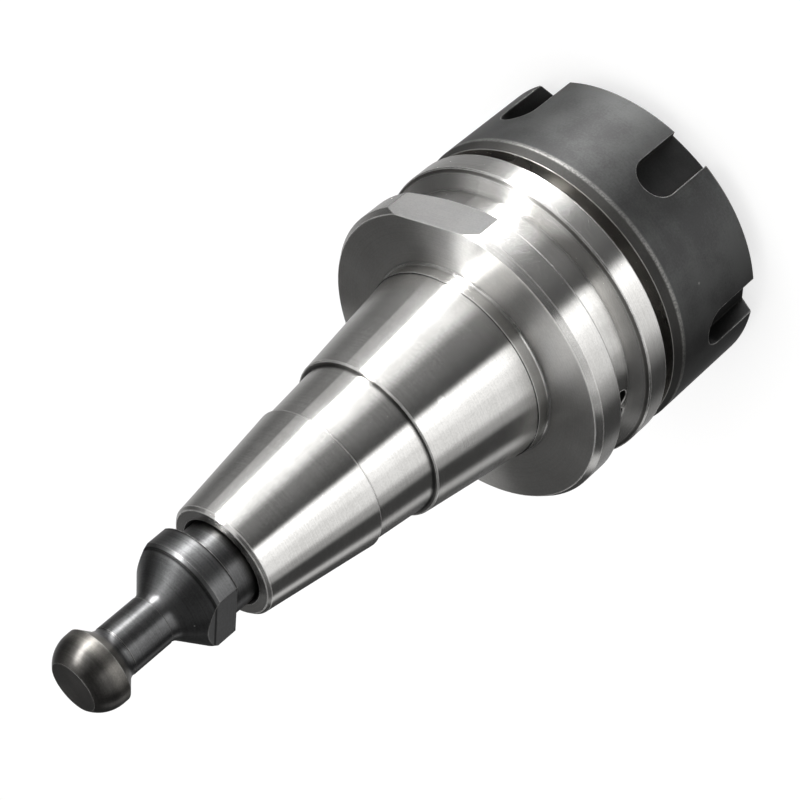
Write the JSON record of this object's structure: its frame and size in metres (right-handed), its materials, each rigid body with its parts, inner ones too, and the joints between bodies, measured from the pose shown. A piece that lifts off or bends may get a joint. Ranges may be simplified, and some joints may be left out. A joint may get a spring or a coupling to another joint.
{
  "type": "collet chuck holder",
  "caption": "Steep-taper collet chuck holder with a grooved gripper flange, slotted clamping nut, slitted collet and screwed-in pull stud.",
  "frame": {"origin": "centre of the bounding box's bottom, on the turning axis in the plane of the nut's front face", "axes": "+Z along the turning axis from the nut towards the pull stud; +X is the outward normal of the flat milled on the flange's front rim"},
  "size_m": [0.05, 0.05, 0.1178],
  "materials": {
    "ground_steel": "ground and fine turned",
    "black_oxide_stud": "black oxide, satin",
    "collet_steel": "ground",
    "black_oxide_nut": "black oxide, satin"
  },
  "bodies": {
    "holder": {"holder_body": "ground_steel", "pull_stud": "black_oxide_stud"},
    "collet": {"collet": "collet_steel"},
    "nut": {"clamping_nut": "black_oxide_nut"}
  },
  "joints": [
    {"name": "nut_travel", "type": "slide", "parent": "holder", "child": "collet", "axis": [0, 0, -1], "range_m": [0, 0.0105]},
    {"name": "nut_turn", "type": "hinge", "parent": "collet", "child": "nut", "pos_m": [0, 0, 0], "axis": [0, 0, -1], "range_deg": [0, 2520]}
  ],
  "couplings": [
    {"joint": "nut_travel", "follows": "nut_turn", "m_per_rad": 0.00023873}
  ]
}
